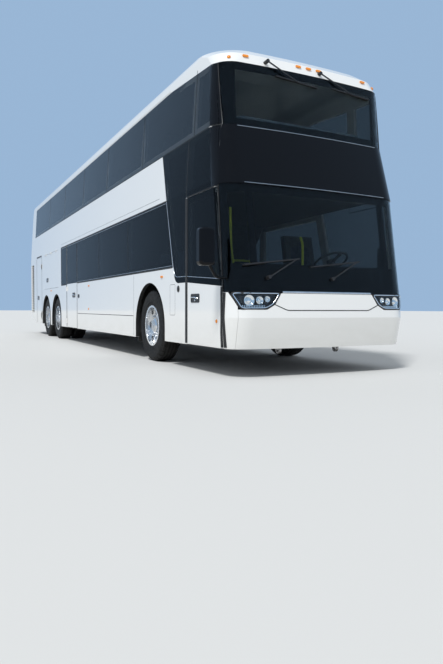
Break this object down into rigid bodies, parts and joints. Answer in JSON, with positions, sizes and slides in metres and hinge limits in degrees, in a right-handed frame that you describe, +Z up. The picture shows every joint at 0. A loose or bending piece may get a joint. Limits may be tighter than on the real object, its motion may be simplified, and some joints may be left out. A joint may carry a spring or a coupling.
{
  "type": "coach bus",
  "caption": "Tall touring coach with steered front axle, twin-tyred drive axle, tag axle, entry and mid doors, luggage doors and furnished upper and lower decks.",
  "frame": {"origin": "on the ground, below the middle of the body's length and width", "axes": "+X points to the front of the bus, +Y to its left side, +Z up"},
  "size_m": [13.7368, 3.28, 3.9898],
  "materials": {
    "body_white": "gloss",
    "side_glass": "gloss",
    "screen_glass": "gloss",
    "black_gloss": "gloss",
    "black_trim": "matt",
    "lamp_clear": "gloss",
    "lamp_signal": "gloss",
    "chassis_paint": "satin",
    "cast_parts": "rough",
    "tyre_rubber": "matt",
    "rim_alloy": "polished",
    "interior": "matt",
    "seat_cloth": "woven",
    "mirror_silver": "gloss",
    "bare_steel": "brushed"
  },
  "bodies": {
    "coach": {"side_wall_left": "body_white", "side_wall_right": "body_white", "roof_shell": "body_white", "front_lower_panels": "body_white", "bumper_front": "body_white", "bumper_rear": "body_white", "rear_wall": "body_white", "upper_side_glass": "side_glass", "lower_side_glass": "side_glass", "rear_window": "side_glass", "front_screens": "screen_glass", "front_frame": "black_gloss", "front_belt_panel": "black_gloss", "mirror_heads": "black_gloss", "wipers": "black_trim", "side_grilles": "black_trim", "headlamps": "lamp_clear", "signal_lamps": "lamp_signal", "chassis_frame": "chassis_paint", "rear_frame": "chassis_paint", "wheel_housings": "chassis_paint", "front_axle": "cast_parts", "rear_axles": "cast_parts", "engine": "cast_parts", "lower_floor": "interior", "upper_floor": "interior", "stairs": "interior", "cab": "interior", "bulkheads": "interior", "upper_seats": "seat_cloth", "lower_seats": "seat_cloth", "mirror_glass": "mirror_silver", "tow_eyes": "bare_steel"},
    "entry_arms": {"entry_door_arms": "chassis_paint"},
    "entry_door": {"entry_door_panel": "body_white", "entry_door_glass": "side_glass"},
    "mid_door": {"mid_door_panel": "body_white", "mid_door_glass": "side_glass"},
    "luggage_door_right": {"luggage_door_right": "body_white"},
    "luggage_door_left": {"luggage_door_left": "body_white"},
    "rear_hatch_right": {"rear_hatch_right": "body_white"},
    "rear_hatch_left": {"rear_hatch_left": "body_white"},
    "engine_lid": {"engine_lid": "body_white"},
    "knuckle_right": {"knuckle_right": "cast_parts"},
    "knuckle_left": {"knuckle_left": "cast_parts"},
    "wheel_front_right": {"tyre_front_right": "tyre_rubber", "rim_front_right": "rim_alloy"},
    "wheel_front_left": {"tyre_front_left": "tyre_rubber", "rim_front_left": "rim_alloy"},
    "wheel_drive_right": {"tyre_drive_right": "tyre_rubber", "rim_drive_right": "rim_alloy"},
    "wheel_drive_left": {"tyre_drive_left": "tyre_rubber", "rim_drive_left": "rim_alloy"},
    "wheel_tag_right": {"tyre_tag_right": "tyre_rubber", "rim_tag_right": "rim_alloy"},
    "wheel_tag_left": {"tyre_tag_left": "tyre_rubber", "rim_tag_left": "rim_alloy"}
  },
  "joints": [
    {"name": "entry_arms_swing", "type": "hinge", "parent": "coach", "child": "entry_arms", "pos_m": [5.652, -1.214, 1.3], "axis": [0, 0, -1], "range_deg": [0, 150]},
    {"name": "entry_door_turn", "type": "hinge", "parent": "entry_arms", "child": "entry_door", "pos_m": [6.13, -1.194, 1.3], "axis": [0, 0, -1], "range_deg": [-150, 0]},
    {"name": "mid_door_swing", "type": "hinge", "parent": "coach", "child": "mid_door", "pos_m": [-1.487, -1.306, 1.285], "axis": [0, 0, -1], "range_deg": [0, 90]},
    {"name": "luggage_door_right_lift", "type": "hinge", "parent": "coach", "child": "luggage_door_right", "pos_m": [-3.49, -1.306, 2.227], "axis": [-1, 0, 0], "range_deg": [0, 80]},
    {"name": "luggage_door_left_lift", "type": "hinge", "parent": "coach", "child": "luggage_door_left", "pos_m": [-3.49, 1.306, 2.227], "axis": [1, 0, 0], "range_deg": [0, 80]},
    {"name": "rear_hatch_right_swing", "type": "hinge", "parent": "coach", "child": "rear_hatch_right", "pos_m": [-4.853, -1.306, 1.275], "axis": [0, 0, 1], "range_deg": [0, 90]},
    {"name": "rear_hatch_left_swing", "type": "hinge", "parent": "coach", "child": "rear_hatch_left", "pos_m": [-4.853, 1.306, 1.275], "axis": [0, 0, -1], "range_deg": [0, 90]},
    {"name": "engine_lid_lift", "type": "hinge", "parent": "coach", "child": "engine_lid", "pos_m": [-6.869, 0, 1.917], "axis": [0, 1, 0], "range_deg": [0, 80]},
    {"name": "steer_left", "type": "hinge", "parent": "coach", "child": "knuckle_left", "pos_m": [4.2, 1, 0.525], "axis": [0, 0, 1], "range_deg": [-40, 40]},
    {"name": "steer_right", "type": "hinge", "parent": "coach", "child": "knuckle_right", "pos_m": [4.2, -1, 0.525], "axis": [0, 0, 1], "range_deg": [-40, 40]},
    {"name": "wheel_front_right_spin", "type": "hinge", "parent": "knuckle_right", "child": "wheel_front_right", "pos_m": [4.2, -1.116, 0.525], "axis": [0, 1, 0], "continuous": true},
    {"name": "wheel_front_left_spin", "type": "hinge", "parent": "knuckle_left", "child": "wheel_front_left", "pos_m": [4.2, 1.116, 0.525], "axis": [0, 1, 0], "continuous": true},
    {"name": "wheel_drive_right_spin", "type": "hinge", "parent": "coach", "child": "wheel_drive_right", "pos_m": [-2.75, -1.116, 0.525], "axis": [0, 1, 0], "continuous": true},
    {"name": "wheel_drive_left_spin", "type": "hinge", "parent": "coach", "child": "wheel_drive_left", "pos_m": [-2.75, 1.116, 0.525], "axis": [0, 1, 0], "continuous": true},
    {"name": "wheel_tag_right_spin", "type": "hinge", "parent": "coach", "child": "wheel_tag_right", "pos_m": [-4.15, -1.116, 0.525], "axis": [0, 1, 0], "continuous": true},
    {"name": "wheel_tag_left_spin", "type": "hinge", "parent": "coach", "child": "wheel_tag_left", "pos_m": [-4.15, 1.116, 0.525], "axis": [0, 1, 0], "continuous": true}
  ],
  "couplings": [
    {"joint": "entry_door_turn", "follows": "entry_arms_swing", "ratio": -1},
    {"joint": "steer_right", "follows": "steer_left", "ratio": 1}
  ]
}
